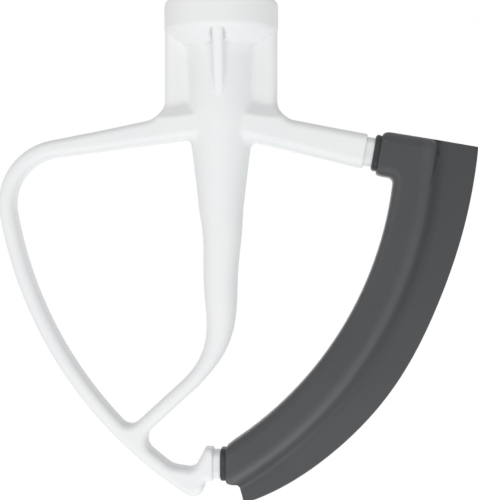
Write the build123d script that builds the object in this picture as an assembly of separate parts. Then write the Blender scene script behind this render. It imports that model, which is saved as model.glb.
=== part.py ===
# Flat beater for a stand mixer: a cast frame with a flexible blade moulded along one side.
#
# Frame of reference, in millimetres: the origin is the centre of the drive socket's mouth,
# +Z runs up the socket towards the mixer, +X points to the blade side and +Y to the back face.
# The beater hangs from its socket, so everything else lies below the origin.
# Flat outlines are drawn as (x, z) pairs in the beater's own plane and then stood upright.

from build123d import *

import math
import os

# Hub ring and socket tube
RING_RADIUS = 16.9
RING_HEIGHT = 9.8
RING_TOP_ROUND = 2.4
RING_LOW_ROUND = 2.6
TUBE_TOP_RADIUS = 11.0
TUBE_RADIUS = 9.9
TUBE_LENGTH = 34.0
CEILING_DROP = 4.6
CEILING_ROUND = 1.2
ROOT_ROUND = 2.2
RIB_ROOT_ROUND = 1.6

# Drive socket: a round bore with a bayonet slot for the shaft's cross pin
SOCKET_RADIUS = 6.6
SOCKET_DEPTH = 31.0
SOCKET_MOUTH_ROUND = 0.5
PIN_SLOT_WIDTH = 5.2
PIN_SLOT_REACH = 2.7
PIN_SLOT_DEPTH = 12.0
PIN_TURN_HEIGHT = 5.4
PIN_TURN_ANGLE = 38.0

# Wings left and right of the tube, and gusset ribs at its front and back
WING_HALF_SPAN = 16.6
WING_THICKNESS = 8.0
WING_FOOT_RADIUS = 6.5
HAUNCH_RISE = 4.2
HAUNCH_DROP = 1.0
HAUNCH_TOP_ROUND = 3.0
HAUNCH_LOW_ROUND = 2.0
RIB_THICKNESS = 3.2
RIB_REACH = 16.4
RIB_LENGTH = 30.5
RIB_ROUND = 1.2
RIB_SINK = 0.3

# Arms: depth is measured front to back, slopes in degrees below the horizontal
ARM_TOP_START = 32.0
ARM_TOP_SLOPE = 10.8
ARM_ROOT_DEPTH = 14.2
ARM_ROOT_REACH = 12.0
ARM_TAPER_REACH = 34.0
ARM_TAPER_ROUND = 80.0
LEFT_ARM_LOW_START = 39.9
LEFT_ARM_LOW_SLOPE = 7.6
RIGHT_ARM_LOW_START = 39.6
RIGHT_ARM_LOW_SLOPE = 14.2
RIGHT_ARM_DEPTH = 10.0
RIGHT_ARM_ROUND = 2.6
RIGHT_ARM_END_X = 42.5
RIGHT_ARM_END_DROP = 45.1
RIGHT_ARM_END_SLOPE = 9.5
SHOULDER_ROUND = 0.5

# Loop: a bar on an arc that follows the bowl, its centre mirrored for the blade
BOWL_ARC_OFFSET = 56.1
BOWL_ARC_DROP = 41.4
LOOP_OUTER_RADIUS = 124.2
LOOP_WIDTH = 4.4
LOOP_DEPTH = 9.0
LOOP_ROUND = 2.1
LOOP_CORNER_OUTER = 19.0
LOOP_CORNER_INNER = 14.0

# Spine: round where it leaves the tube, bending into the brace
SPINE_CONE_END = 60.0
SPINE_CONE_RADIUS = 6.8
SPINE_CONE_ROUND = 40.0
SPINE_BEND_DROP = 105.4
SPINE_BEND_RADIUS = 27.7
SPINE_SECTIONS = (
    (63.0, 13.0, 13.0, 6.3),
    (77.2, 10.5, 11.6, 4.9),
    (92.0, 9.0, 10.2, 4.1),
)
BEND_SECTIONS = (
    (0.25, 7.5, 9.7, 3.4),
    (0.57, 5.7, 9.3, 2.7),
    (1.0, 4.5, 9.0, 2.1),
)
BRACE_SLOPE = 42.5
BRACE_RUN_IN = 3.0
BRACE_CROTCH_INNER = 3.4
BRACE_CROTCH_OUTER = 4.0

# Foot at the bottom of the loop, which carries the blade's lower end
FOOT_AXIS_DROP = 137.7
FOOT_SHOULDER_X = -2.3
FOOT_SHOULDER_HEIGHT = 9.7
FOOT_TOE_X = -4.9
FOOT_TOE_ROUND = 3.3
FOOT_THROAT_ROUND = 1.2
FOOT_TOP_DROP = 139.1
FOOT_TOP_START_X = -14.5
FOOT_TOP_END_X = -7.9
FOOT_NOSE_X = -4.6
FOOT_TOP_ROUND = 3.0

# Necks and the core bar inside the blade
NECK_HEIGHT = 8.4
NECK_DEPTH = 7.2
NECK_ROUND = 2.4
UPPER_NECK_GAP = 2.5
LOWER_NECK_GAP = 2.2
NECK_SEAT = 5.0
CORE_WIDTH = 5.0
CORE_DEPTH = 6.0
CORE_ELBOW = 2.0
CORE_HEEL_X = 9.0
LOCK_HOLE_DIAMETER = 2.4
LOCK_HOLE_COUNT = 5
LOCK_HOLE_ANGLES = (-10.0, -50.0)

# Flexible blade: a block around the core, a collar at each end and a thin wiping flap
BLADE_INNER_RADIUS = 107.6
BLOCK_WIDTH = 11.3
BLOCK_DEPTH = 11.6
BLOCK_END_HEIGHT = 13.0
BLOCK_FOOT_HEIGHT = 12.0
BLOCK_INNER_ROUND = 3.0
BLOCK_RIDGE_ROUND = 3.4
BLOCK_ELBOW_ROUND = 1.8
RIDGE_CORNER_ROUND = 3.0
BLOCK_HEEL_ROUND = 1.8
BLOCK_END_ROUND = 0.4
RIDGE_FLARE_X = 64.4
RIDGE_FLARE_HEIGHT = 12.0
RIDGE_FLARE_ROUND = 20.0
COLLAR_LENGTH = 1.8
COLLAR_STEP = 1.2
COLLAR_ROUND = 2.8
FLAP_ROOT_THICKNESS = 4.4
FLAP_EDGE_THICKNESS = 2.0
FLAP_EDGE_RADIUS = 129.5
FLAP_EDGE_ROUND = 0.6
FLAP_VALLEY_ROUND = 3.0
FLAP_FLARE_SINK = 0.1
FLAP_ROOT_DEPTH = 5.0
FLAP_HEEL_X = 5.4
FLAP_HEEL_ROUND = 1.6
FLAP_HEEL_SEAT = 0.3
FLAP_OVERRUN = 4.0
FLAP_SWEEP_START = 30.0
FLAP_SWEEP = 120.0
FLAP_TOP_X = 75.7
FLAP_TIP = (6.9, -149.3)
FLAP_BOW = ((71.5, -67.6), (63.7, -90.6), (50.5, -115.4), (32.3, -134.7), (16.0, -145.5))

# Worked out from the sizes above
LOOP_CENTRE = (BOWL_ARC_OFFSET, -BOWL_ARC_DROP)
BLADE_CENTRE = (-BOWL_ARC_OFFSET, -BOWL_ARC_DROP)
LOOP_INNER_RADIUS = LOOP_OUTER_RADIUS - LOOP_WIDTH
RIDGE_RADIUS = BLADE_INNER_RADIUS + BLOCK_WIDTH
CORE_RADIUS = BLADE_INNER_RADIUS + BLOCK_WIDTH / 2
TALL = 400.0


def heading(slope):
    """Unit (x, z) direction at a number of degrees above the +X axis."""
    return math.cos(math.radians(slope)), math.sin(math.radians(slope))


def moved(point, slope, distance):
    """A point moved along a heading."""
    along = heading(slope)
    return point[0] + distance * along[0], point[1] + distance * along[1]


def on_line(start, slope, x):
    """The point of a sloping line at a given x."""
    return x, start[1] + (x - start[0]) * math.tan(math.radians(slope))


def cross_line(start, slope, other, other_slope):
    """Where two lines cross."""
    a = heading(slope)
    b = heading(other_slope)
    gap = (other[0] - start[0], other[1] - start[1])
    distance = (gap[0] * b[1] - gap[1] * b[0]) / (a[0] * b[1] - a[1] * b[0])
    return moved(start, slope, distance)


def cross_circle(start, slope, centre, radius, side):
    """Where a line crosses a circle, on the side (+1 or -1) that the line's heading points to."""
    along = heading(slope)
    gap = (start[0] - centre[0], start[1] - centre[1])
    middle = gap[0] * along[0] + gap[1] * along[1]
    half_chord = math.sqrt(middle**2 - gap[0] ** 2 - gap[1] ** 2 + radius**2)
    return moved(start, slope, side * half_chord - middle)


def under_circle(centre, radius, x):
    """The lower point of a circle at a given x."""
    return x, centre[1] - math.sqrt(radius**2 - (x - centre[0]) ** 2)


def line(start, end):
    """A straight edge."""
    return Line(start, end).edge()


def arc(centre, radius, start, end):
    """The shorter arc of a circle between two of its points."""
    first = math.atan2(start[1] - centre[1], start[0] - centre[0])
    last = math.atan2(end[1] - centre[1], end[0] - centre[0])
    sweep = (last - first + math.pi) % math.tau - math.pi
    half = first + sweep / 2
    middle = (centre[0] + radius * math.cos(half), centre[1] + radius * math.sin(half))
    return ThreePointArc(start, middle, end).edge()


def polygon(*points):
    """A flat face with straight sides."""
    return Face(Wire([line(a, b) for a, b in zip(points, points[1:] + points[:1])]))


def rounded(face, *rounds):
    """A flat face with some corners rounded, each given as (corner, radius)."""
    for corner, radius in rounds:
        nearest = face.vertices().sort_by_distance(Vector(*corner))[0]
        face = face.fillet_2d(radius, [nearest])
    return face


def upright(face, depth):
    """A flat (x, z) outline stood upright and made equally thick to front and back."""
    return extrude(Plane.XZ * face, depth / 2, both=True)


def rim_edges(body, outline, leave_out):
    """Edges that run round a plate's outline on its faces, less those a test leaves out."""
    rim = outline.outer_wire()
    found = []
    for edge in body.edges():
        start, middle, end = edge @ 0, edge @ 0.5, edge @ 1
        across = abs(start.X - end.X) < 1e-6 and abs(start.Z - end.Z) < 1e-6
        if across or leave_out(middle):
            continue
        if rim.distance_to(Vertex(middle.X, middle.Z, 0)) < 1e-3:
            found.append(edge)
    return found


def bar_section(origin, slope, width, depth, corner):
    """A rounded bar section, square to a heading in the beater's plane."""
    along = heading(slope)
    plane = Plane(origin=(origin[0], 0, origin[1]), x_dir=(0, 1, 0), z_dir=(along[0], 0, along[1]))
    return plane * RectangleRounded(depth, width, corner)


# Points that several outlines share
ARM_TOP = (0, -ARM_TOP_START)
LEFT_ARM_LOW = (0, -LEFT_ARM_LOW_START)
RIGHT_ARM_LOW = (0, -RIGHT_ARM_LOW_START)
RIGHT_ARM_END = (RIGHT_ARM_END_X, -RIGHT_ARM_END_DROP)
FOOT_END = (FOOT_SHOULDER_X, -FOOT_AXIS_DROP)
SPINE_BEND_LENGTH = SPINE_BEND_RADIUS * math.tan(math.radians(90 - BRACE_SLOPE) / 2)
BRACE_START = moved((0, -SPINE_BEND_DROP), 180 + BRACE_SLOPE, SPINE_BEND_LENGTH + BRACE_RUN_IN)
WING_TOP = -RING_HEIGHT / 2
HUB_OVERLAP = 2.0


def left_outline():
    """Left wing, arm, loop, foot and the stub of the brace, cut off square at the brace."""
    wing_foot = on_line(ARM_TOP, ARM_TOP_SLOPE, -WING_HALF_SPAN)
    arm_tip = cross_circle(ARM_TOP, ARM_TOP_SLOPE, LOOP_CENTRE, LOOP_OUTER_RADIUS, -1)
    arm_crook = cross_circle(LEFT_ARM_LOW, LEFT_ARM_LOW_SLOPE, LOOP_CENTRE, LOOP_INNER_RADIUS, -1)
    arm_low_end = on_line(LEFT_ARM_LOW, LEFT_ARM_LOW_SLOPE, HUB_OVERLAP)
    brace_low = moved(BRACE_START, BRACE_SLOPE - 90, LOOP_WIDTH / 2)
    brace_top = moved(BRACE_START, BRACE_SLOPE + 90, LOOP_WIDTH / 2)
    crotch_low = cross_circle(brace_low, BRACE_SLOPE, LOOP_CENTRE, LOOP_INNER_RADIUS, -1)
    crotch_top = cross_circle(brace_top, BRACE_SLOPE, LOOP_CENTRE, LOOP_INNER_RADIUS, -1)
    toe = under_circle(LOOP_CENTRE, LOOP_OUTER_RADIUS, FOOT_TOE_X)
    shoulder_low = -FOOT_AXIS_DROP - FOOT_SHOULDER_HEIGHT / 2
    shoulder_top = -FOOT_AXIS_DROP + FOOT_SHOULDER_HEIGHT / 2
    instep = under_circle(LOOP_CENTRE, LOOP_INNER_RADIUS, FOOT_TOP_START_X)
    face = Face(Wire([
        line((-WING_HALF_SPAN, WING_TOP), wing_foot),
        line(wing_foot, arm_tip),
        arc(LOOP_CENTRE, LOOP_OUTER_RADIUS, arm_tip, toe),
        line(toe, (FOOT_TOE_X, shoulder_low)),
        line((FOOT_TOE_X, shoulder_low), (FOOT_SHOULDER_X, shoulder_low)),
        line((FOOT_SHOULDER_X, shoulder_low), (FOOT_SHOULDER_X, shoulder_top)),
        line((FOOT_SHOULDER_X, shoulder_top), (FOOT_NOSE_X, shoulder_top)),
        line((FOOT_NOSE_X, shoulder_top), (FOOT_TOP_END_X, -FOOT_TOP_DROP)),
        line((FOOT_TOP_END_X, -FOOT_TOP_DROP), instep),
        arc(LOOP_CENTRE, LOOP_INNER_RADIUS, instep, crotch_low),
        line(crotch_low, brace_low),
        line(brace_low, brace_top),
        line(brace_top, crotch_top),
        arc(LOOP_CENTRE, LOOP_INNER_RADIUS, crotch_top, arm_crook),
        line(arm_crook, arm_low_end),
        line(arm_low_end, (HUB_OVERLAP, WING_TOP)),
        line((HUB_OVERLAP, WING_TOP), (-WING_HALF_SPAN, WING_TOP)),
    ]))
    return rounded(
        face,
        (wing_foot, WING_FOOT_RADIUS),
        (arm_tip, LOOP_CORNER_OUTER),
        (arm_crook, LOOP_CORNER_INNER),
        (crotch_top, BRACE_CROTCH_INNER),
        (crotch_low, BRACE_CROTCH_OUTER),
        (toe, FOOT_TOE_ROUND),
        ((FOOT_TOE_X, shoulder_low), FOOT_THROAT_ROUND),
        ((FOOT_TOP_END_X, -FOOT_TOP_DROP), FOOT_TOP_ROUND),
        (instep, 2 * FOOT_TOP_ROUND),
    )


def right_outline():
    """Right wing and arm, cut off square at the arm's end."""
    wing_foot = on_line(ARM_TOP, -ARM_TOP_SLOPE, WING_HALF_SPAN)
    end_slope = 90 - RIGHT_ARM_END_SLOPE
    end_top = cross_line(ARM_TOP, -ARM_TOP_SLOPE, RIGHT_ARM_END, end_slope)
    end_low = cross_line(RIGHT_ARM_LOW, -RIGHT_ARM_LOW_SLOPE, RIGHT_ARM_END, end_slope)
    arm_low_start = on_line(RIGHT_ARM_LOW, -RIGHT_ARM_LOW_SLOPE, -HUB_OVERLAP)
    face = polygon(
        (WING_HALF_SPAN, WING_TOP),
        wing_foot,
        end_top,
        end_low,
        arm_low_start,
        (-HUB_OVERLAP, WING_TOP),
    )
    return rounded(face, (wing_foot, WING_FOOT_RADIUS))


def depth_plan(side, end_depth):
    """The plate's depth seen from above, as (x, y): deepest at the hub, thinner along the arm."""
    root = ARM_ROOT_DEPTH / 2
    tip = end_depth / 2
    far = side * TALL / 2
    corners = [
        (side * -HUB_OVERLAP * 2, root),
        (side * ARM_ROOT_REACH, root),
        (side * ARM_TAPER_REACH, tip),
        (far, tip),
        (far, -tip),
        (side * ARM_TAPER_REACH, -tip),
        (side * ARM_ROOT_REACH, -root),
        (side * -HUB_OVERLAP * 2, -root),
    ]
    bends = [corners[1], corners[2], corners[5], corners[6]]
    return rounded(polygon(*corners), *[(bend, ARM_TAPER_ROUND) for bend in bends])


def wing_relief(side, face):
    """What is cut away in front of or behind a wing, down to the sloping haunch on its arm."""
    wing = WING_THICKNESS / 2
    root = ARM_ROOT_DEPTH / 2
    past = root + 2
    foot = -ARM_TOP_START - HAUNCH_DROP
    drop = HAUNCH_RISE * (past - root) / (root - wing)
    top = WING_TOP + ARM_TAPER_REACH
    section = polygon(
        (face * wing, top),
        (face * wing, foot + HAUNCH_RISE),
        (face * root, foot),
        (face * past, foot - drop),
        (face * past, top),
    )
    along = heading(-ARM_TOP_SLOPE)
    direction = Vector(side * along[0], 0, along[1])
    start = direction * -HUB_OVERLAP * 3
    reach = direction * ARM_TAPER_REACH
    return Pos(*start) * extrude(Plane.YZ * section, (reach - start).length, dir=direction)


def haunch_height(x, y):
    """Height of the haunches' sloping planes."""
    rise = HAUNCH_RISE * (ARM_ROOT_DEPTH / 2 - abs(y)) / ((ARM_ROOT_DEPTH - WING_THICKNESS) / 2)
    return on_line(ARM_TOP, -ARM_TOP_SLOPE, abs(x))[1] - HAUNCH_DROP + rise


def haunch_edges(body, side_face):
    """Edges where the haunches meet the front and back faces drawn by a flat (x, y) outline."""
    rim = side_face.outer_wire()
    found = []
    for edge in body.edges():
        middle = edge @ 0.5
        sloping = abs((edge @ 0).X - (edge @ 1).X) > 1e-3
        on_haunch = abs(middle.Z - haunch_height(middle.X, middle.Y)) < 0.02
        if sloping and on_haunch and rim.distance_to(Vertex(middle.X, middle.Y, 0)) < 1e-3:
            found.append(edge)
    return found


def half_plate(side, outline, end_depth, rim_round, leave_out):
    """One side of the frame's plate, with its haunches blended and its rim rounded."""
    plan = depth_plan(side, end_depth)
    depths = Box(TALL, end_depth, TALL) + extrude(plan, SPINE_CONE_END, dir=(0, 0, -1))
    plate = upright(outline, ARM_ROOT_DEPTH + 2) & depths
    plate -= wing_relief(side, 1)
    plate -= wing_relief(side, -1)
    plate = plate.solids()[0]
    wing_plan = Rectangle(4 * WING_HALF_SPAN, WING_THICKNESS).face()
    plate = plate.fillet(HAUNCH_TOP_ROUND, haunch_edges(plate, wing_plan))
    plate = plate.fillet(HAUNCH_LOW_ROUND, haunch_edges(plate, plan))
    return plate.fillet(rim_round, rim_edges(plate, outline, leave_out))


def tube_radius(z):
    """The tube's radius at a height: it widens a little towards the ring."""
    return TUBE_RADIUS + (TUBE_TOP_RADIUS - TUBE_RADIUS) * (TUBE_LENGTH + z) / TUBE_LENGTH


def core_column():
    """The tube and the upper cone of the spine, of revolution about the socket's axis."""
    profile = polygon(
        (0, WING_TOP),
        (tube_radius(WING_TOP), WING_TOP),
        (TUBE_RADIUS, -TUBE_LENGTH),
        (SPINE_CONE_RADIUS, -SPINE_CONE_END),
        (0, -SPINE_CONE_END),
    )
    profile = rounded(profile, ((TUBE_RADIUS, -TUBE_LENGTH), SPINE_CONE_ROUND))
    return revolve(Plane.XZ * profile, Axis.Z)


def hub_ring():
    """The ring round the socket's mouth, with the sloping ceiling of the pockets below it."""
    ceiling_low = -RING_HEIGHT - CEILING_DROP
    ceiling_radius = tube_radius(ceiling_low)
    profile = polygon(
        (0, 0),
        (RING_RADIUS, 0),
        (RING_RADIUS, -RING_HEIGHT),
        (ceiling_radius, ceiling_low),
        (ceiling_radius - CEILING_ROUND, ceiling_low - 2 * CEILING_ROUND),
        (0, ceiling_low - 2 * CEILING_ROUND),
    )
    profile = rounded(
        profile,
        ((RING_RADIUS, 0), RING_TOP_ROUND),
        ((RING_RADIUS, -RING_HEIGHT), RING_LOW_ROUND),
    )
    return revolve(Plane.XZ * profile, Axis.Z)


def gusset_rib(face):
    """A thin rib that braces the ring against the tube, at the front (-1) or back (+1)."""
    foot = tube_radius(-RIB_LENGTH) - RIB_SINK
    side = polygon(
        (0, WING_TOP),
        (face * RIB_REACH, WING_TOP),
        (face * RIB_REACH, -RING_HEIGHT),
        (face * foot, -RIB_LENGTH),
        (0, -RIB_LENGTH),
    )
    rib = extrude(Plane.YZ * side, RIB_THICKNESS / 2, both=True).solids()[0]
    long_edges = [e for e in rib.edges() if abs((e @ 0).Z - (e @ 1).Z) > RIB_THICKNESS]
    slope = [e for e in long_edges if abs((e @ 0.5).Y) > foot and (e @ 0.5).Z < -RING_HEIGHT]
    return rib.fillet(RIB_ROUND, slope)


def round_section(radius, corner_angle=84):
    """A circle split into the same eight edges as a rounded bar section."""
    edges = []
    side_angle = 90 - corner_angle
    for quarter in range(4):
        start = 90 * quarter + side_angle / 2
        edges.append(CenterArc((0, 0), radius, start, corner_angle).edge())
        edges.append(CenterArc((0, 0), radius, start + corner_angle, side_angle).edge())
    return Face(Wire(edges))


def spine():
    """The lower spine: from the round end of the cone to the brace's bar section."""
    start_drop = SPINE_BEND_DROP - SPINE_BEND_LENGTH
    turn = 90 - BRACE_SLOPE
    top = Plane(origin=(0, 0, -SPINE_CONE_END), x_dir=(0, 1, 0), z_dir=(0, 0, -1))
    faces = [top * round_section(SPINE_CONE_RADIUS)]
    for drop, width, depth, corner in SPINE_SECTIONS:
        faces.append(bar_section((0, -drop), -90, width, depth, corner))
    for part_turn, width, depth, corner in BEND_SECTIONS:
        swing = math.radians(turn * part_turn)
        x = -SPINE_BEND_RADIUS * (1 - math.cos(swing))
        z = -start_drop - SPINE_BEND_RADIUS * math.sin(swing)
        faces.append(bar_section((x, z), -90 - turn * part_turn, width, depth, corner))
    faces.append(bar_section(BRACE_START, 180 + BRACE_SLOPE, LOOP_WIDTH, LOOP_DEPTH, LOOP_ROUND))
    return loft(faces)


def shared_edges(body, first, second, near):
    """Edges that pass a nearness test and lie on both of two solids that were joined."""
    found = []
    for edge in body.edges():
        point = edge @ 0.5
        if near(point) and first.distance_to(Vertex(*point)) < 1e-4:
            if second.distance_to(Vertex(*point)) < 1e-4:
                found.append(edge)
    return found


def joined(body, piece, radius, near):
    """A piece fused to a body, with a rounded root where they meet near a place."""
    whole = (body + piece).solids()[0]
    return whole.fillet(radius, shared_edges(whole, body, piece, near))


def at_tube(point):
    """Whether a point lies on the tube or cone, below the wings' cut tops."""
    return point.Z < WING_TOP - 0.1 and math.hypot(point.X, point.Y) < TUBE_TOP_RADIUS


def socket():
    """The socket's bore with its bayonet slot: in, down, and a turn for the cross pin."""
    bore = Pos(0, 0, -SOCKET_DEPTH / 2) * Cylinder(SOCKET_RADIUS, SOCKET_DEPTH)
    reach = SOCKET_RADIUS + PIN_SLOT_REACH
    slot = Pos(reach / 2, 0, -PIN_SLOT_DEPTH / 2) * Box(reach, PIN_SLOT_WIDTH, PIN_SLOT_DEPTH)
    half_width = math.degrees(math.asin(PIN_SLOT_WIDTH / 2 / reach))
    turn = Cylinder(reach, PIN_TURN_HEIGHT, arc_size=PIN_TURN_ANGLE)
    seat = PIN_TURN_HEIGHT / 2 - PIN_SLOT_DEPTH
    return bore + slot + Pos(0, 0, seat) * Rot(0, 0, half_width) * turn


def at_brace(point):
    """Whether a point of the left plate lies on the cut that the spine's brace meets."""
    return math.hypot(point.X - BRACE_START[0], point.Z - BRACE_START[1]) < LOOP_WIDTH / 2 - 0.01


def left_cuts(point):
    """Cut faces of the left plate whose edges stay sharp."""
    at_foot = abs(point.X - FOOT_SHOULDER_X) < 1e-3
    return point.X > -0.05 or point.Z > WING_TOP - 0.01 or at_brace(point) or at_foot


def right_cuts(point):
    """Cut faces of the right plate whose edges stay sharp."""
    along = heading(-RIGHT_ARM_END_SLOPE)
    ahead = (point.X - RIGHT_ARM_END[0]) * along[0] + (point.Z - RIGHT_ARM_END[1]) * along[1]
    return point.X < 0.05 or point.Z > WING_TOP - 0.01 or abs(ahead) < 1e-3


def shoulder_edges(body, end, slope):
    """The rim of a flat shoulder face that stands square to the blade's core."""
    along = heading(slope)
    found = []
    for edge in body.edges():
        spots = [edge @ 0, edge @ 0.5, edge @ 1]
        ahead = [(p.X - end[0]) * along[0] + (p.Z - end[1]) * along[1] for p in spots]
        near = math.hypot(spots[1].X - end[0], spots[1].Z - end[1]) < FOOT_SHOULDER_HEIGHT
        if near and max(abs(a) for a in ahead) < 1e-3:
            found.append(edge)
    return found


def bar(start, slope, length, width, depth, corner):
    """A straight rounded bar along a heading in the beater's plane."""
    along = heading(slope)
    section = bar_section(start, slope, width, depth, corner)
    return extrude(section, length, dir=(along[0], 0, along[1]))


def core_outline():
    """The core bar hidden in the blade, from the upper neck round the arc to the lower neck."""
    half = CORE_WIDTH / 2
    upper = moved(RIGHT_ARM_END, -RIGHT_ARM_END_SLOPE, UPPER_NECK_GAP + COLLAR_LENGTH)
    lower = moved(FOOT_END, 0, LOWER_NECK_GAP + COLLAR_LENGTH)
    outer_radius = CORE_RADIUS + half
    inner_radius = CORE_RADIUS - half
    upper_top = moved(upper, 90 - RIGHT_ARM_END_SLOPE, half)
    upper_low = moved(upper, -90 - RIGHT_ARM_END_SLOPE, half)
    lower_top = moved(lower, 90, half)
    lower_low = moved(lower, -90, half)
    elbow_out = cross_circle(upper_top, -RIGHT_ARM_END_SLOPE, BLADE_CENTRE, outer_radius, 1)
    elbow_in = cross_circle(upper_low, -RIGHT_ARM_END_SLOPE, BLADE_CENTRE, inner_radius, 1)
    heel_out = under_circle(BLADE_CENTRE, outer_radius, CORE_HEEL_X + half)
    heel_in = under_circle(BLADE_CENTRE, inner_radius, CORE_HEEL_X)
    toe_out = (CORE_HEEL_X - half, lower_low[1])
    toe_in = (CORE_HEEL_X - CORE_WIDTH, lower_top[1])
    face = Face(Wire([
        line(upper_top, elbow_out),
        arc(BLADE_CENTRE, outer_radius, elbow_out, heel_out),
        line(heel_out, toe_out),
        line(toe_out, lower_low),
        line(lower_low, lower_top),
        line(lower_top, toe_in),
        line(toe_in, heel_in),
        arc(BLADE_CENTRE, inner_radius, heel_in, elbow_in),
        line(elbow_in, upper_low),
        line(upper_low, upper_top),
    ]))
    return rounded(face, (elbow_out, CORE_ELBOW + CORE_WIDTH), (elbow_in, CORE_ELBOW))


def core():
    """Both necks and the core bar between them, with holes that lock the blade on."""
    neck = (NECK_HEIGHT, NECK_DEPTH, NECK_ROUND)
    upper_length = UPPER_NECK_GAP + COLLAR_LENGTH + NECK_SEAT
    lower_length = LOWER_NECK_GAP + COLLAR_LENGTH + NECK_SEAT
    start = moved(RIGHT_ARM_END, 180 - RIGHT_ARM_END_SLOPE, NECK_SEAT)
    foot = moved(FOOT_END, 180, SHOULDER_ROUND + 1)
    upper_neck = bar(start, -RIGHT_ARM_END_SLOPE, NECK_SEAT + upper_length, *neck)
    lower_neck = bar(foot, 0, SHOULDER_ROUND + 1 + lower_length, *neck)
    solid = upright(core_outline(), CORE_DEPTH) + upper_neck + lower_neck
    first, last = LOCK_HOLE_ANGLES
    for index in range(LOCK_HOLE_COUNT):
        angle = math.radians(first + (last - first) * index / (LOCK_HOLE_COUNT - 1))
        x = BLADE_CENTRE[0] + CORE_RADIUS * math.cos(angle)
        z = BLADE_CENTRE[1] + CORE_RADIUS * math.sin(angle)
        solid -= Pos(x, 0, z) * Rot(90, 0, 0) * Cylinder(LOCK_HOLE_DIAMETER / 2, 2 * CORE_DEPTH)
    return solid.solids()[0]


def mouth_edges(body):
    """Edges round the socket's open end."""
    found = []
    for edge in body.edges():
        spots = [edge @ 0, edge @ 0.5, edge @ 1]
        if max(abs(p.Z) for p in spots) < 1e-6:
            if math.hypot(spots[1].X, spots[1].Y) < SOCKET_RADIUS + PIN_SLOT_REACH + 0.01:
                found.append(edge)
    return found


def beater_frame(core_bar):
    """The whole casting."""
    body = core_column()
    for face in (-1, 1):
        body = joined(body, gusset_rib(face), RIB_ROOT_ROUND, at_tube)
    left = half_plate(-1, left_outline(), LOOP_DEPTH, LOOP_ROUND, left_cuts)
    left = left.fillet(SHOULDER_ROUND, shoulder_edges(left, FOOT_END, 0))
    body = joined(body, left, ROOT_ROUND, at_tube)
    right = half_plate(1, right_outline(), RIGHT_ARM_DEPTH, RIGHT_ARM_ROUND, right_cuts)
    right = right.fillet(SHOULDER_ROUND, shoulder_edges(right, RIGHT_ARM_END, -RIGHT_ARM_END_SLOPE))
    body = joined(body, right, ROOT_ROUND, at_tube)
    body = (body + hub_ring() + spine() + core_bar - socket()).solids()[0]
    return body.fillet(SOCKET_MOUTH_ROUND, mouth_edges(body))


def block_outline():
    """The blade's block from one collar round to the other."""
    slope = -RIGHT_ARM_END_SLOPE
    half = BLOCK_END_HEIGHT / 2
    upper = moved(RIGHT_ARM_END, slope, UPPER_NECK_GAP + COLLAR_LENGTH)
    lower = moved(FOOT_END, 0, LOWER_NECK_GAP + COLLAR_LENGTH)
    upper_top = moved(upper, slope + 90, half)
    upper_low = moved(upper, slope - 90, half)
    lower_top = moved(lower, 90, BLOCK_FOOT_HEIGHT / 2)
    lower_low = moved(lower, -90, BLOCK_FOOT_HEIGHT / 2)
    ridge_top = on_line(upper_top, slope, RIDGE_FLARE_X)
    flare = cross_circle((0, ridge_top[1] - RIDGE_FLARE_HEIGHT), 0, BLADE_CENTRE, RIDGE_RADIUS, 1)
    elbow = cross_circle(upper_low, slope, BLADE_CENTRE, BLADE_INNER_RADIUS, 1)
    instep = cross_circle(lower_top, 0, BLADE_CENTRE, BLADE_INNER_RADIUS, 1)
    heel = cross_circle(lower_low, 0, BLADE_CENTRE, RIDGE_RADIUS, 1)
    face = Face(Wire([
        line(upper_low, upper_top),
        line(upper_top, ridge_top),
        line(ridge_top, flare),
        arc(BLADE_CENTRE, RIDGE_RADIUS, flare, heel),
        line(heel, lower_low),
        line(lower_low, lower_top),
        line(lower_top, instep),
        arc(BLADE_CENTRE, BLADE_INNER_RADIUS, instep, elbow),
        line(elbow, upper_low),
    ]))
    return rounded(
        face,
        (elbow, BLOCK_ELBOW_ROUND),
        (ridge_top, RIDGE_CORNER_ROUND),
        (flare, RIDGE_FLARE_ROUND),
        (instep, BLOCK_HEEL_ROUND),
        (heel, BLOCK_HEEL_ROUND),
    )


def block_ends(point):
    """Whether a point lies on one of the block's two flat ends."""
    along = heading(-RIGHT_ARM_END_SLOPE)
    ahead = (point.X - RIGHT_ARM_END[0]) * along[0] + (point.Z - RIGHT_ARM_END[1]) * along[1]
    at_top = abs(ahead - UPPER_NECK_GAP - COLLAR_LENGTH) < 1e-3
    return at_top or abs(point.X - FOOT_SHOULDER_X - LOWER_NECK_GAP - COLLAR_LENGTH) < 1e-3


def on_inner_side(point):
    """Whether a point of the block lies on the side of its core that faces the spine."""
    arm_axis = on_line(RIGHT_ARM_END, -RIGHT_ARM_END_SLOPE, point.X)[1]
    radius = math.hypot(point.X - BLADE_CENTRE[0], point.Z - BLADE_CENTRE[1])
    return -FOOT_AXIS_DROP < point.Z < arm_axis and radius < CORE_RADIUS


def blade_block():
    """The thick part of the blade, softly rounded on its inner side and along its ridge."""
    outline = block_outline()
    block = upright(outline, BLOCK_DEPTH).solids()[0]
    inner = rim_edges(block, outline, lambda p: block_ends(p) or not on_inner_side(p))
    block = block.fillet(BLOCK_INNER_ROUND, inner)
    ridge = rim_edges(block, outline, lambda p: block_ends(p) or on_inner_side(p))
    block = block.fillet(BLOCK_RIDGE_ROUND, ridge)
    return block.fillet(BLOCK_END_ROUND, [e for e in block.edges() if block_ends(e @ 0.5)])


def bowl_radius(point):
    """Distance of a point from the axis that the blade's arcs share."""
    return math.hypot(point.X - BLADE_CENTRE[0], point.Z - BLADE_CENTRE[1])


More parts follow.
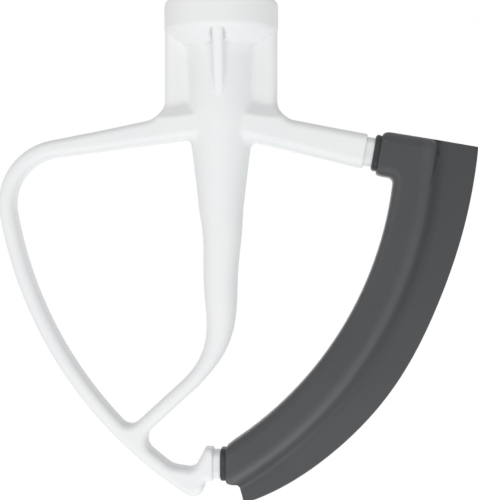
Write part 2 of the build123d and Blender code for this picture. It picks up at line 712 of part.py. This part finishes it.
def flap_section():
    """The flap's tapering section, on the +X side of the blade's arc axis.

    Its root flares at 45 degrees into the ridge's round, from just under the round's surface.
    """
    taper = (FLAP_ROOT_THICKNESS - FLAP_EDGE_THICKNESS) / 2 / (FLAP_EDGE_RADIUS - RIDGE_RADIUS)
    far = FLAP_EDGE_RADIUS + FLAP_OVERRUN
    far_half = FLAP_EDGE_THICKNESS / 2 - taper * FLAP_OVERRUN
    root_half = FLAP_ROOT_THICKNESS / 2
    corner = BLOCK_RIDGE_ROUND * (1 - math.sqrt(0.5)) + FLAP_FLARE_SINK
    flare = RIDGE_RADIUS - corner
    flare_half = BLOCK_DEPTH / 2 - corner
    valley = flare + flare_half - root_half
    inside = RIDGE_RADIUS - FLAP_ROOT_DEPTH - 1
    section = polygon(
        (inside, -flare_half),
        (flare, -flare_half),
        (valley, -root_half),
        (far, -far_half),
        (far, far_half),
        (valley, root_half),
        (flare, flare_half),
        (inside, flare_half),
    )
    return rounded(
        section,
        ((valley, -root_half), FLAP_VALLEY_ROUND),
        ((valley, root_half), FLAP_VALLEY_ROUND),
    )


def flap():
    """The thin wiping flap, thinning outwards from the block's ridge to its free edge."""
    slope = -RIGHT_ARM_END_SLOPE
    upper = moved(RIGHT_ARM_END, slope, UPPER_NECK_GAP + COLLAR_LENGTH)
    top = moved(upper, slope + 90, BLOCK_END_HEIGHT / 2)
    root_radius = RIDGE_RADIUS - FLAP_ROOT_DEPTH
    top_root = cross_circle(top, slope, BLADE_CENTRE, root_radius, 1)
    top_tip = on_line(top, slope, FLAP_TOP_X)
    heel = (FLAP_HEEL_X, FLAP_HEEL_SEAT - FOOT_AXIS_DROP - BLOCK_FOOT_HEIGHT / 2)
    heel_in = moved(heel, 180, FLAP_HEEL_ROUND)
    heel_root = under_circle(BLADE_CENTRE, root_radius, heel_in[0])
    outline = Face(Wire([
        line(top_root, top_tip),
        Spline(top_tip, *FLAP_BOW, FLAP_TIP).edge(),
        line(FLAP_TIP, heel),
        line(heel, heel_in),
        line(heel_in, heel_root),
        arc(BLADE_CENTRE, root_radius, heel_root, top_root),
    ]))
    outline = rounded(outline, (heel, FLAP_HEEL_ROUND))
    axis = Axis((BLADE_CENTRE[0], 0, BLADE_CENTRE[1]), (0, 1, 0))
    start = Pos(BLADE_CENTRE[0], 0, BLADE_CENTRE[1]) * Rot(0, -FLAP_SWEEP_START, 0)
    disc = revolve(start * flap_section(), axis, FLAP_SWEEP)
    sheet = disc & upright(outline, BLOCK_DEPTH)
    trim_top = Pos(top[0], 0, top[1]) * Rot(0, -slope, 0)
    trim_height = 2 * (BLOCK_RIDGE_ROUND + FLAP_HEEL_SEAT)
    trim_depth = BLOCK_DEPTH - FLAP_ROOT_THICKNESS
    for face in (-1, 1):
        sheet -= trim_top * Pos(0, face * BLOCK_DEPTH / 2, 0) * Box(TALL, trim_depth, trim_height)
    sheet = sheet.solids()[0]
    free = [e for e in sheet.edges() if e.length > FLAP_EDGE_RADIUS / 2]
    free = [e for e in free if bowl_radius(e @ 0.5) > RIDGE_RADIUS + FLAP_VALLEY_ROUND]
    return sheet.fillet(FLAP_EDGE_ROUND, free)


def collar(start, slope, gap, block_height):
    """A low collar between the frame's shoulder and one end of the block."""
    height = block_height - 2 * COLLAR_STEP
    depth = BLOCK_DEPTH - 2 * COLLAR_STEP
    return bar(moved(start, slope, gap), slope, 2 * COLLAR_LENGTH, height, depth, COLLAR_ROUND)


def flex_edge_blade(core_bar):
    """The soft blade, moulded round the frame's core bar and through its lock holes."""
    blade = blade_block() + flap()
    blade += collar(RIGHT_ARM_END, -RIGHT_ARM_END_SLOPE, UPPER_NECK_GAP, BLOCK_END_HEIGHT)
    blade += collar(FOOT_END, 0, LOWER_NECK_GAP, BLOCK_FOOT_HEIGHT)
    return (blade - core_bar).solids()[0]


if __name__ == "__main__":
    os.makedirs("parts", exist_ok=True)
    core_bar = core()
    export_step(beater_frame(core_bar), "parts/beater_frame.step")
    export_step(flex_edge_blade(core_bar), "parts/flex_edge_blade.step")
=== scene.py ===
# %% [markdown]
# # Dressing a flat beater
# The beater is a white coated casting with a dark silicone blade moulded along one side.
# The solids come in finished from CAD, in metres, with the origin at the socket's mouth and
# +Z up. This lesson softens the ends of the moulded blade, smooths both pieces, gives them
# their finishes, and sets up a plain studio picture taken from almost straight in front.

# %% Load the solids
import math
import bmesh
import bpy
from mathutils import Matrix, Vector


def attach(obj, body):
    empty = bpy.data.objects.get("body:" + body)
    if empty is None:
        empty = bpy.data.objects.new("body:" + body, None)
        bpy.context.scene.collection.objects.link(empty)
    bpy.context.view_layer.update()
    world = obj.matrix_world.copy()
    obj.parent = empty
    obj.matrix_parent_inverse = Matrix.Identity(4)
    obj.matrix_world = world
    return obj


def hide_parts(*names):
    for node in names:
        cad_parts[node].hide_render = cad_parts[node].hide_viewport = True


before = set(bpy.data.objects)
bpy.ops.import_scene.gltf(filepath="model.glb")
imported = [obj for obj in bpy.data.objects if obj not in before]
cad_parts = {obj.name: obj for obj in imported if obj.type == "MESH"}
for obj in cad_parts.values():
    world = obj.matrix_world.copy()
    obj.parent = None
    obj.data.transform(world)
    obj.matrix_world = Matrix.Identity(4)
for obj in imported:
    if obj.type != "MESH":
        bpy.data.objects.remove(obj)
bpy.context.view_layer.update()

# %% [markdown]
# ## One skin each
# The real casting and the real blade each have one unbroken skin, but the solids arrive as
# loose triangles. They could take a finish as they are, but then every facet would catch the
# light on its own, and a bevel needs faces that share their edges. So a copy of each solid is
# merged into one skin, and the copy stands for the solid.

# %% Helpers that work on one piece
MERGE_DISTANCE = 0.000004


def only(piece):
    """Deselects everything else, so that the operators act on one piece."""
    bpy.ops.object.select_all(action="DESELECT")
    piece.select_set(True)
    bpy.context.view_layer.objects.active = piece


def merge_points(piece):
    """Joins the points that lie in the same place."""
    only(piece)
    bpy.ops.object.mode_set(mode="EDIT")
    bpy.ops.mesh.select_all(action="SELECT")
    bpy.ops.mesh.remove_doubles(threshold=MERGE_DISTANCE)
    bpy.ops.object.mode_set(mode="OBJECT")


# %% A merged copy of each solid
def merged_copy(node, name):
    """A copy of a CAD node as one skin, which rides on the body and stands for the node."""
    piece = bpy.data.objects.new(name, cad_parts[node].data.copy())
    bpy.context.collection.objects.link(piece)
    merge_points(piece)
    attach(piece, "root")
    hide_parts(node)
    return piece


casting = merged_copy("beater_frame", "coated_casting")
blade = merged_copy("flex_edge_blade", "silicone_blade")
print("points in each skin:", len(casting.data.vertices), "and", len(blade.data.vertices))

# %% [markdown]
# ## Soft ends on the blade
# Silicone comes out of its mould with rounded ends, and each end of this blade steps down to
# a low collar round the frame's neck. In CAD those steps are crisp. The collar's rim is one
# loop of edges, so a bevel rounds it. The block's corners behind the collar are cut across a
# few times, and the new points are drawn in along a quarter of an ellipse. Bevels could do
# both, but points that only move towards the collar's axis are sure to stay in the solid.

# %% Where the two ends are
COLLAR_LENGTH = 0.0018
# point: the middle of the collar's free face as x and z; lean: how far its axis turns down
# half: half the block's height there; bevel: the width of the rim's bevel
ENDS = (
    {"point": (0.0449, -0.0459), "lean": math.radians(9.5), "half": 0.0065, "bevel": 0.0008},
    {"point": (-0.0001, -0.1377), "lean": 0.0, "half": 0.0060, "bevel": 0.0006},
)


def end_place(spot, end):
    """How far a point lies behind the collar's free face, and how far above its axis."""
    right, up = spot.x - end["point"][0], spot.z - end["point"][1]
    cos, sin = math.cos(end["lean"]), math.sin(end["lean"])
    return right * cos - up * sin, right * sin + up * cos


def axis_of(end):
    """The middle of the collar's free face, and the direction that leads into the block."""
    middle = Vector((end["point"][0], 0, end["point"][1]))
    return middle, Vector((math.cos(end["lean"]), 0, -math.sin(end["lean"])))


# %% Which faces and edges belong to a collar
# how far a point may lie before a plane, above the block, or off the rim
PLANE_SLACK = 0.00005
HEIGHT_SLACK = 0.0012
RIM_SLACK = 0.00002
# a face whose normal points less than this along the axis is a side face
SIDE_FACE_TURN = 0.5


def near_end(spot, end, reach):
    """True for a point from the collar's free face to a reach behind it, at the block's height."""
    behind, above = end_place(spot, end)
    return -PLANE_SLACK < behind < reach and abs(above) < end["half"] + HEIGHT_SLACK


def on_outer_rim(edge, end):
    """True for an edge of the collar's free face whose other face looks away from the axis."""
    for vertex in edge.verts:
        in_free_face = abs(end_place(vertex.co, end)[0]) <= RIM_SLACK
        if not in_free_face or not near_end(vertex.co, end, COLLAR_LENGTH):
            return False
    middle, inward = axis_of(end)
    sides = [face for face in edge.link_faces if abs(face.normal.dot(inward)) < SIDE_FACE_TURN]
    away = edge.verts[0].co - middle
    return len(sides) == 1 and sides[0].normal.dot(away) > 0


# %% Bevel a collar's rim
FLAT_ANGLE = math.radians(0.5)
RIM_SEGMENTS = 4


def nothing_selected(piece, kind):
    """The mesh of a piece in edit mode with nothing selected, ready to select one kind."""
    bpy.ops.mesh.select_mode(type=kind)
    bpy.ops.mesh.select_all(action="DESELECT")
    return bmesh.from_edit_mesh(piece.data)


def bevel_collar_rim(piece, end):
    """Joins a collar's flat triangles, and rounds the outer rim of its free face."""
    only(piece)
    bpy.ops.object.mode_set(mode="EDIT")
    shape = nothing_selected(piece, "FACE")
    for face in shape.faces:
        face.select = all(near_end(vertex.co, end, COLLAR_LENGTH + PLANE_SLACK) for vertex in face.verts)
    bpy.ops.mesh.dissolve_limited(angle_limit=FLAT_ANGLE)
    shape = nothing_selected(piece, "EDGE")
    rim = [edge for edge in shape.edges if on_outer_rim(edge, end)]
    for edge in rim:
        edge.select = True
    print("rim edges:", len(rim))
    bpy.ops.mesh.bevel(offset=end["bevel"], segments=RIM_SEGMENTS, affect="EDGES", clamp_overlap=False)
    bpy.ops.object.mode_set(mode="OBJECT")


# %% Cut across the block's corners
# only faces between these heights from the axis are cut
HIGHEST_CUT = 0.0095
LOWEST_CUT = 0.001


def cut_across(piece, end, depth):
    """Cuts the block's upper and lower faces at a depth behind the collar's free face."""
    shape = nothing_selected(piece, "FACE")
    for face in shape.faces:
        places = [end_place(vertex.co, end) for vertex in face.verts]
        crosses = min(place[0] for place in places) < depth < max(place[0] for place in places)
        heights = [abs(place[1]) for place in places]
        face.select = crosses and max(heights) < HIGHEST_CUT and min(heights) > LOWEST_CUT
    middle, inward = axis_of(end)
    bpy.ops.mesh.bisect(plane_co=middle + depth * inward, plane_no=inward)


# %% Draw in the block's corners
# the collar lies a step below the block, and the corners come down to a margin above it
COLLAR_STEP = 0.0012
COLLAR_MARGIN = 0.0001
# how far the rounding runs behind the collar, and at which shares of that it is cut
CORNER_REACH = 0.0022
CORNER_CUTS = (0.3, 0.45, 0.65, 0.99)
CORNER_SLACK = 0.01
LEAST_SWELL = 0.1


def swell(share):
    """How much of its height above the collar a corner keeps, at a share of its reach."""
    return LEAST_SWELL + (1 - LEAST_SWELL) * math.sqrt(1 - (1 - max(share, 0)) ** 2)


def draw_in_corners(piece, end):
    """Rounds the block's upper and lower corner behind the collar."""
    only(piece)
    bpy.ops.object.mode_set(mode="EDIT")
    for share in CORNER_CUTS:
        cut_across(piece, end, COLLAR_LENGTH + share * CORNER_REACH)
    bpy.ops.object.mode_set(mode="OBJECT")
    inner = end["half"] - COLLAR_STEP + COLLAR_MARGIN
    moved = 0
    for vertex in piece.data.vertices:
        behind, above = end_place(vertex.co, end)
        share = (behind - COLLAR_LENGTH) / CORNER_REACH
        if -CORNER_SLACK < share < 1 and inner < abs(above) < end["half"] + HEIGHT_SLACK:
            shift = -math.copysign((abs(above) - inner) * (1 - swell(share)), above)
            vertex.co.x += shift * math.sin(end["lean"])
            vertex.co.z += shift * math.cos(end["lean"])
            moved += 1
    merge_points(piece)
    print("corner points moved:", moved)


# %% Shape both ends
for end in ENDS:
    bevel_collar_rim(blade, end)
    draw_in_corners(blade, end)

# %% [markdown]
# ## Smooth normals
# The real casting flows from the hub into the arms without a break, while the merged skin
# still shows its facets. Its normals are smoothed wherever two faces meet at a shallow angle,
# and weighted by the faces' size, so that large flat faces stay even. A remesh would hide the
# facets too, but it would soften the thin steps at the blade's collars.

# %% Smooth both pieces
SMOOTH_ANGLE = math.radians(32)


def smooth(piece):
    """Smooth normals wherever two faces meet at a shallow angle."""
    only(piece)
    bpy.ops.object.shade_smooth_by_angle(angle=SMOOTH_ANGLE)
    bpy.ops.object.modifier_add(type="WEIGHTED_NORMAL")
    piece.modifiers[-1].keep_sharp = True
    bpy.ops.object.modifier_apply(modifier=piece.modifiers[-1].name)
    print(piece.name, "has", len(piece.data.vertices), "points,", len(piece.data.polygons), "faces")


smooth(casting)
smooth(blade)

# %% [markdown]
# ## Shader maths in plain Python
# A finish here is mostly numbers that vary over the surface: a little noise in the colour, a
# little in the gloss. Wiring each Math node by hand hides the idea, so a small class wraps a
# socket, and plain arithmetic on it adds the nodes.

# %% A socket that can be calculated with
class Value:
    """A shader socket that plain arithmetic works on; a comparison gives 1 or 0."""

    def __init__(self, finish, socket):
        self.finish = finish
        self.socket = socket

    def maths(self, operation, *numbers):
        return self.finish.node("ShaderNodeMath", {"operation": operation}, dict(enumerate(numbers)))

    def __add__(self, other):
        return self.maths("ADD", self, other)

    __radd__ = __add__

    def __sub__(self, other):
        return self.maths("SUBTRACT", self, other)

    def __rsub__(self, other):
        return self.maths("SUBTRACT", other, self)

    def __mul__(self, other):
        return self.maths("MULTIPLY", self, other)

    __rmul__ = __mul__

    def __truediv__(self, other):
        return self.maths("DIVIDE", self, other)

    def __rtruediv__(self, other):
        return self.maths("DIVIDE", other, self)

    def __lt__(self, other):
        return self.maths("LESS_THAN", self, other)

    def __gt__(self, other):
        return self.maths("GREATER_THAN", self, other)

    def __abs__(self):
        return self.maths("ABSOLUTE", self)

    def or_larger(self, other):
        return self.maths("MAXIMUM", self, other)


# %% A maker of nodes
class Finish:
    """The nodes of a material or of the world, all added by one method."""

    def __init__(self, owner):
        self.owner = owner
        owner.use_nodes = True
        self.nodes = owner.node_tree.nodes
        self.links = owner.node_tree.links
        self.shader = self.nodes.get("Principled BSDF")

    def node(self, kind, settings, inputs, output=0):
        """Adds a node: its settings first, then the values or links of its sockets."""
        made = self.nodes.new(kind)
        for key, value in settings.items():
            if key == "stops":
                self.set_stops(made.color_ramp, value)
            else:
                setattr(made, key, value)
        for key, value in inputs.items():
            self.feed(made.inputs[key], value)
        return Value(self, made.outputs[output])

    def set_stops(self, ramp, stops):
        while len(ramp.elements) < len(stops):
            ramp.elements.new(0.5)
        for element, (place, grey) in zip(ramp.elements, stops):
            element.position = place
            element.color = (grey, grey, grey, 1)

    def feed(self, socket, value):
        if isinstance(value, Value):
            self.links.new(value.socket, socket)
        else:
            socket.default_value = value

    def set(self, **inputs):
        """Feeds the main shader's sockets; underscores in a name stand for spaces."""
        for key, value in inputs.items():
            self.feed(self.shader.inputs[key.replace("_", " ")], value)

    def place(self):
        """Where a point lies, in the object's own coordinates."""
        return self.node("ShaderNodeTexCoord", {}, {}, output="Object")

    def facing(self):
        """The direction that the surface faces, in the object's own coordinates."""
        return self.node("ShaderNodeTexCoord", {}, {}, output="Normal")

    def part(self, vector, axis):
        """The X, Y or Z of a vector."""
        return self.node("ShaderNodeSeparateXYZ", {}, {0: vector}, output=axis)

    def noise(self, scale, detail, roughness=0.5):
        """Noise between 0 and 1 that stays with the object; scale is in lumps per metre."""
        inputs = {"Vector": self.place(), "Scale": scale, "Detail": detail, "Roughness": roughness}
        return self.node("ShaderNodeTexNoise", {"noise_dimensions": "3D"}, inputs)

    def ramp(self, value, *stops):
        """Bends a value through a row of (place, grey) stops."""
        return self.node("ShaderNodeValToRGB", {"stops": stops}, {"Fac": value})

    def blend(self, factor, first, second):
        """Mixes two colours."""
        inputs = {"Factor": factor, "A": first, "B": second}
        return self.node("ShaderNodeMix", {"data_type": "RGBA"}, inputs, output="Result")

    def bump(self, strength, distance, height):
        """Bends the normal by a height; distance is how high a full height stands, in metres."""
        inputs = {"Strength": strength, "Distance": distance, "Height": height}
        return self.node("ShaderNodeBump", {}, inputs, output="Normal")


# %% A colour as a picture shows it
def rgb(red, green, blue):
    """A colour from the 0 to 255 numbers that a picture shows, made linear by the sRGB curve."""
    linear = []
    for level in (red, green, blue):
        part = level / 255
        linear.append(part / 12.92 if part < 0.04045 else ((part + 0.055) / 1.055) ** 2.4)
    return (*linear, 1)


# %% [markdown]
# ## The casting's coat
# The frame is cast aluminium under a baked white coat. Such a coat is smooth to the hand but
# not flat: it has a faint orange peel, millimetres across and microns deep, and a slightly
# uneven gloss. Plain white with one roughness would look like paper, so noise moves the
# gloss and a fine bump bends the highlights. The faces that look up get painted shade: their
# colour is drawn a shade duller, in place of the light that they lack.

# %% White baked coat
WHITE_SHADES = (rgb(239, 240, 241), rgb(243, 243, 242))
# painted shade: the duller white below is drawn on the faces that look up
PAINTED_SHADE_WHITE = rgb(219, 221, 223)
# lumps per metre
COAT_CLOUDS = 45
ORANGE_PEEL = 900
COAT_GRAIN = 5200


def white_coat():
    """Satin white with an orange peel, an uneven gloss and painted shade on upward faces."""
    coat = Finish(bpy.data.materials.new("white_baked_coat"))
    cloud = coat.noise(COAT_CLOUDS, detail=2)
    peel = coat.noise(ORANGE_PEEL, detail=2)
    grain = coat.noise(COAT_GRAIN, detail=1)
    tone = coat.blend(coat.ramp(cloud, (0.3, 0.0), (0.7, 1.0)), *WHITE_SHADES)
    upward = coat.ramp(coat.part(coat.facing(), "Z"), (0.3, 0.0), (0.95, 1.0))
    # painted shade: faces that look up are blended towards the duller white
    tone = coat.blend(upward * (cloud * 0.4 + 0.5), tone, PAINTED_SHADE_WHITE)
    relief = coat.bump(strength=0.08, distance=0.0002, height=peel * 0.85 + grain * 0.15)
    coat.set(Base_Color=tone, Roughness=cloud * 0.1 + 0.45, Normal=relief, Specular_IOR_Level=0.3)
    return coat.owner


# %% [markdown]
# ## The blade's silicone
# Silicone is dull and soft, and picks up a haze of dust and handling. Light and shade are
# painted into its colour as well: a painted highlight along the ridge, painted shade on the
# flap, most of all towards its upper end, painted shade in the groove between them and on the
# upper part, and the darkest painted shade on the two low collars. The ridge, the groove and
# the flap follow the blade's arc, so the distance from the arc's centre says where each one
# lies. An image mask would do as well, but this one needs no picture.

# %% Where a point lies on the blade
ARC_CENTRE = (-0.0561, 0.0, -0.0414)
ACROSS_START = 0.105
ACROSS_WIDTH = 0.025
# the painted light and shade change from the blade's upper part to its foot over this height
FADE_TOP = -0.055
FADE_HEIGHT = 0.075


def across_blade(finish):
    """From 0.1 at the blade's inner edge to 1 at its wiping edge, measured along the radius."""
    flatten = {0: finish.place(), 1: (1, 0, 1)}
    flat = finish.node("ShaderNodeVectorMath", {"operation": "MULTIPLY"}, flatten, output="Vector")
    ends = {0: flat, 1: ARC_CENTRE}
    radius = finish.node("ShaderNodeVectorMath", {"operation": "DISTANCE"}, ends, output="Value")
    return (radius - ACROSS_START) / ACROSS_WIDTH


def down_blade(finish):
    """0 in the blade's upper part and 1 near its foot."""
    return (FADE_TOP - finish.part(finish.place(), "Z")) / FADE_HEIGHT


def rounded_edges(finish):
    """1 where a face is turned halfway between front and side, as on a rounded edge."""
    frontal = abs(finish.part(finish.facing(), "Y"))
    return finish.ramp(frontal, (0.3, 0.0), (0.6, 1.0), (0.85, 1.0), (0.98, 0.0))


# %% Where the collars are
# the planes where the block begins, less a hair: the upper one leans and so is a sloping line
UPPER_COLLAR_END = (0.0467, -0.0459)
UPPER_COLLAR_LEAN = 0.165
UPPER_COLLAR_LOWEST = -0.055
LOWER_COLLAR_END = 0.00168


def on_collars(finish):
    """1 on the two low collars, which lie to the left of the planes where the block begins."""
    along = finish.part(finish.place(), "X")
    height = finish.part(finish.place(), "Z")
    upper_end = UPPER_COLLAR_LEAN * (height - UPPER_COLLAR_END[1]) + UPPER_COLLAR_END[0]
    upper = (along < upper_end) * (height > UPPER_COLLAR_LOWEST)
    return upper + (along < LOWER_COLLAR_END)


# %% Zones across the blade
# rows of (place, grey) stops, with the places that across_blade gives
INNER_EDGE = ((0.3, 1.0), (0.36, 0.0))
RIDGE = ((0.38, 0.0), (0.46, 1.0), (0.5, 1.0), (0.54, 0.0))
GROOVE = ((0.53, 0.0), (0.575, 1.0), (0.61, 1.0), (0.7, 0.0))
FLAP = ((0.56, 0.0), (0.62, 1.0))

# %% Grey silicone
GREY_SHADES = (rgb(61, 62, 65), rgb(68, 69, 72))
# the colours after the first pair are painted light and shade, not the silicone's own colour
PAINTED_SHADE_UPPER_GREY = rgb(60, 61, 64)
PAINTED_SHADE_FLAP_GREY = rgb(56, 57, 59)
PAINTED_SHADE_GROOVE_GREY = rgb(44, 45, 48)
PAINTED_HIGHLIGHT_GREY = rgb(88, 89, 92)
PAINTED_SHADE_COLLAR_GREY = rgb(28, 28, 30)
# lumps per metre
HAZE_CLOUDS = 60
MOTTLE = 700


def grey_silicone():
    """Hazy grey with a painted highlight on the ridge and painted shade on groove, flap, collars and
    top.
    """
    silicone = Finish(bpy.data.materials.new("grey_silicone"))
    cloud = silicone.noise(HAZE_CLOUDS, detail=3, roughness=0.6)
    mottle = silicone.noise(MOTTLE, detail=3, roughness=0.65)
    across = across_blade(silicone)
    high = silicone.ramp(down_blade(silicone), (0.0, 1.0), (1.0, 0.0))
    inner_edge = silicone.ramp(across, *INNER_EDGE)
    ridge = silicone.ramp(across, *RIDGE)
    groove = silicone.ramp(across, *GROOVE)
    flap = silicone.ramp(across, *FLAP)
    haze = silicone.ramp(cloud * 0.6 + mottle * 0.4, (0.35, 0.0), (0.68, 1.0))
    tone = silicone.blend(haze, *GREY_SHADES)
    # painted shade: the blade's upper part is drawn darker
    tone = silicone.blend(high * 0.3, tone, PAINTED_SHADE_UPPER_GREY)
    # painted shade: the flap is drawn darker, most of all towards its upper end
    tone = silicone.blend(flap * (high * 0.6 + 0.35), tone, PAINTED_SHADE_FLAP_GREY)
    # painted shade in the groove between the ridge and the flap
    tone = silicone.blend(groove * (high * 0.5 + 0.4), tone, PAINTED_SHADE_GROOVE_GREY)
    # painted highlight along the ridge
    tone = silicone.blend(ridge * (cloud * 0.3 + 0.42 - high * 0.4), tone, PAINTED_HIGHLIGHT_GREY)
    # painted highlight on the block's rounded inner edges
    tone = silicone.blend(rounded_edges(silicone) * inner_edge * 0.1, tone, PAINTED_HIGHLIGHT_GREY)
    # painted shade: the two low collars are drawn darkest
    tone = silicone.blend(on_collars(silicone) * 0.75, tone, PAINTED_SHADE_COLLAR_GREY)
    relief = silicone.bump(strength=0.2, distance=0.0001, height=mottle)
    silicone.set(Base_Color=tone, Roughness=mottle * 0.12 + 0.42, Normal=relief)
    silicone.set(Specular_IOR_Level=0.45)
    return silicone.owner


# %% Dress both pieces
def dress(piece, material):
    """Gives a piece one material and nothing else."""
    piece.data.materials.clear()
    piece.data.materials.append(material)


dress(casting, white_coat())
dress(blade, grey_silicone())
print("finishes:", casting.data.materials[0].name, "and", blade.data.materials[0].name)

# %% [markdown]
# ## Floor and backdrop
# The beater stands out against plain white. More light on everything would whiten the
# background too, but it would wash out the coat. So Light Path picks out what the camera and
# the gloss see: there the world, which is the backdrop, is full white, and a pale floor well
# below the beater is lifted a little past white by a weak glow. More than half of what the
# floor shows still comes from the lamps and the world, so a deep shadow would show on it.

# %% What is drawn white
WHITE = (1, 1, 1, 1)


def drawn_white(finish):
    """1 for a ray from the camera, and for one that gloss or glass sends out."""
    camera, gloss, glass = (
        finish.node("ShaderNodeLightPath", {}, {}, output=kind)
        for kind in ("Is Camera Ray", "Is Glossy Ray", "Is Transmission Ray")
    )
    return camera.or_larger(gloss).or_larger(glass)


# %% Pale floor
FLOOR_SIZE = 6
FLOOR_DROP = 1.1
FLOOR_GLOW = 0.45


def white_paper():
    """A pale surface lifted a little past white where it is drawn; a deep shadow would show."""
    paper = Finish(bpy.data.materials.new("white_paper"))
    paper.set(Base_Color=rgb(238, 238, 238), Roughness=0.9)
    plain = Value(paper, paper.shader.outputs["BSDF"])
    glow = paper.node("ShaderNodeEmission", {}, {"Color": WHITE, "Strength": FLOOR_GLOW})
    lifted = paper.node("ShaderNodeAddShader", {}, {0: plain, 1: glow})
    either = paper.node("ShaderNodeMixShader", {}, {0: drawn_white(paper), 1: plain, 2: lifted})
    paper.feed(paper.nodes["Material Output"].inputs["Surface"], either)
    return paper.owner


bpy.ops.mesh.primitive_plane_add(size=FLOOR_SIZE, location=(0, 0, -FLOOR_DROP))
floor = bpy.context.active_object
floor.name = "floor"
dress(floor, white_paper())
print("floor:", FLOOR_SIZE, "m wide,", FLOOR_DROP, "m below the socket's mouth")

# %% The world as backdrop
WORLD_STRENGTH = 0.62
DRAWN_STRENGTH = 1.0


def studio_world():
    """White where it is drawn, and a plain even light everywhere else."""
    studio = Finish(bpy.data.worlds.new("studio"))
    light, drawn = (
        studio.node("ShaderNodeBackground", {}, {"Color": WHITE, "Strength": strength})
        for strength in (WORLD_STRENGTH, DRAWN_STRENGTH)
    )
    either = studio.node("ShaderNodeMixShader", {}, {0: drawn_white(studio), 1: light, 2: drawn})
    studio.feed(studio.nodes["World Output"].inputs["Surface"], either)
    return studio.owner


bpy.context.scene.world = studio_world()
print("world strength:", WORLD_STRENGTH)

# %% [markdown]
# ## Lamps
# The casting's undersides are its brightest faces and its upper faces are a shade darker, so
# nearly all the lamps stand low. Two are on the left, three on the right are slightly cooler,
# and one behind keeps the back from going dark. Small lamps would give hard bright spots on
# the coat, so each is a soft square, at least four tenths as wide as it is far away.

# %% How a lamp is placed
MIDDLE = (0.005, 0.0, -0.075)
LAMP_DISTANCE = 1.1
LAMP_SIZE = 0.45
BACK_LAMP_SIZE = 0.8
NEUTRAL = (1, 1, 1)
COOL = (0.93, 0.98, 1.0)


def aim(obj, target):
    """Turns a lamp or camera so that it looks at a point."""
    ahead = [there - here for there, here in zip(target, obj.location)]
    flat = math.hypot(ahead[0], ahead[1])
    obj.rotation_euler = (math.pi / 2 + math.atan2(ahead[2], flat), 0, math.atan2(-ahead[0], ahead[1]))


def lamp(name, azimuth, elevation, watts, colour=NEUTRAL, size=LAMP_SIZE):
    """A square soft lamp that points at the beater's middle; azimuth 0 is straight in front."""
    light = bpy.data.lights.new(name, "AREA")
    light.size = size
    light.energy = watts
    light.color = colour
    obj = bpy.data.objects.new(name, light)
    bpy.context.collection.objects.link(obj)
    swing, lift = math.radians(azimuth), math.radians(elevation)
    obj.location = (
        MIDDLE[0] + LAMP_DISTANCE * math.sin(swing) * math.cos(lift),
        MIDDLE[1] - LAMP_DISTANCE * math.cos(swing) * math.cos(lift),
        MIDDLE[2] + LAMP_DISTANCE * math.sin(lift),
    )
    aim(obj, MIDDLE)


# %% The six lamps
lamp("front_left", -25, -15, 1.7)
lamp("side_left", -60, 10, 1.1)
lamp("front_right", 25, -20, 1.0, COOL)
lamp("low_right", 25, -55, 2.7, COOL)
lamp("side_right", 75, -40, 0.6, COOL)
lamp("behind", 180, -10, 1.3, size=BACK_LAMP_SIZE)

# %% [markdown]
# ## The camera
# The picture was taken from 40 cm in front, level with the beater's middle and swung a few
# degrees to the right, which shows a little of the ring's underside and of the wings' right
# sides. A nearer camera would open the ring's underside more, and a longer lens only enlarges
# the picture. So the distance comes first, and the lens then fills the frame with the beater.

# %% Camera
CAMERA_DISTANCE = 0.400
CAMERA_SWING = math.radians(3.7)
AIM_POINT = (0.00526, 0.0, -0.07425)
FOCAL_LENGTH = 96.98
SENSOR_WIDTH = 36

camera_data = bpy.data.cameras.new("camera")
camera_data.lens = FOCAL_LENGTH
camera_data.sensor_width = SENSOR_WIDTH
camera = bpy.data.objects.new("camera", camera_data)
bpy.context.collection.objects.link(camera)
camera.location = (
    AIM_POINT[0] + CAMERA_DISTANCE * math.sin(CAMERA_SWING),
    -CAMERA_DISTANCE * math.cos(CAMERA_SWING),
    AIM_POINT[2],
)
aim(camera, AIM_POINT)
bpy.context.scene.camera = camera
bpy.context.scene.view_settings.view_transform = "Standard"
print("camera at", [round(c, 4) for c in camera.location])
